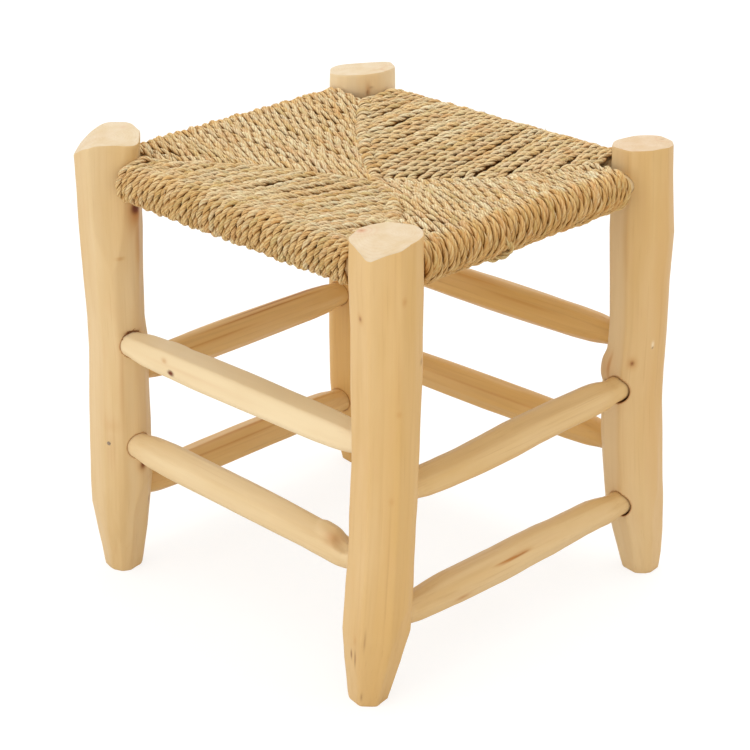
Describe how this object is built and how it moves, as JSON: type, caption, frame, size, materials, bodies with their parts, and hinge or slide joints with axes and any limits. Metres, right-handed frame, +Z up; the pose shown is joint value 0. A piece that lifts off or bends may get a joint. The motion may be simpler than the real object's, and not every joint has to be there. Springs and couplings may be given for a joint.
{
  "type": "kursi stool",
  "caption": "Low square stool of whittled round posts and stretchers, with a seat of twisted palm cord wound over its rails so that the turns meet on the diagonals.",
  "frame": {"origin": "on the floor under the middle of the stool's box", "axes": "+Z up; the two sides that face the viewer in the picture are the front, -Y, and the right, +X"},
  "size_m": [0.4417, 0.4322, 0.4579],
  "materials": {
    "post_wood": "bare pale wood, peeled and drawknifed, dry and matt",
    "stretcher_wood": "bare pale wood, peeled and drawknifed, dry and matt",
    "rail_wood": "bare wood, hidden under the cord",
    "palm_cord": "two-ply twisted palm leaf, dry, matt and fibrous",
    "nail_steel": "dull grey bare iron"
  },
  "bodies": {
    "root": {"post_front_left": "post_wood", "post_front_right": "post_wood", "post_back_right": "post_wood", "post_back_left": "post_wood", "stretcher_front_upper": "stretcher_wood", "stretcher_front_lower": "stretcher_wood", "stretcher_right_upper": "stretcher_wood", "stretcher_right_lower": "stretcher_wood", "stretcher_back_upper": "stretcher_wood", "stretcher_back_lower": "stretcher_wood", "stretcher_left_upper": "stretcher_wood", "stretcher_left_lower": "stretcher_wood", "seat_rail_front": "rail_wood", "seat_rail_right": "rail_wood", "seat_rail_back": "rail_wood", "seat_rail_left": "rail_wood", "woven_seat": "palm_cord", "post_nail": "nail_steel"}
  },
  "joints": []
}
